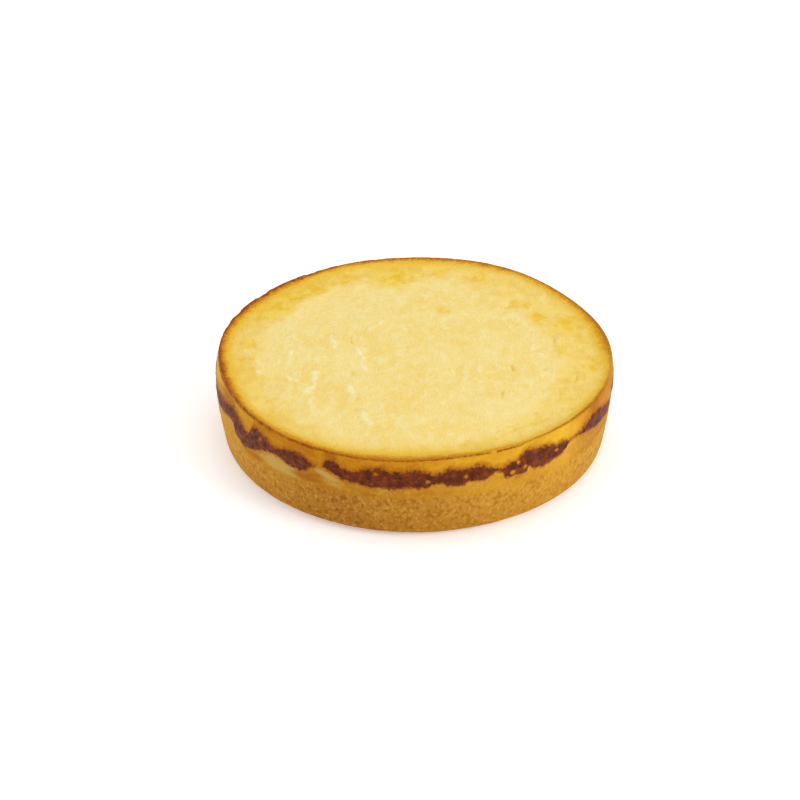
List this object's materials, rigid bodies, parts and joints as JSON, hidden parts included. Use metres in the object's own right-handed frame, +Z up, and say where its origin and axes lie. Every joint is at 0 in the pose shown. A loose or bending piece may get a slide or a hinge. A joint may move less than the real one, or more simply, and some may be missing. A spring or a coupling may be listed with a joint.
{
  "type": "cheese tartlet",
  "caption": "Low round tartlet: a shortcrust case filled to a browned rim with baked fresh cheese, its side scorched in patches.",
  "frame": {"origin": "middle of the underside, on the table", "axes": "+Z up, and -Y towards the side that is shown"},
  "size_m": [0.1016, 0.102, 0.0234],
  "materials": {
    "shortcrust": "matt, sandy and crumbly",
    "baked_cheese": "soft satin skin, browned at the rim and scorched in patches on the side"
  },
  "bodies": {
    "root": {"pastry_case": "shortcrust", "cheese_filling": "baked_cheese"}
  },
  "joints": []
}
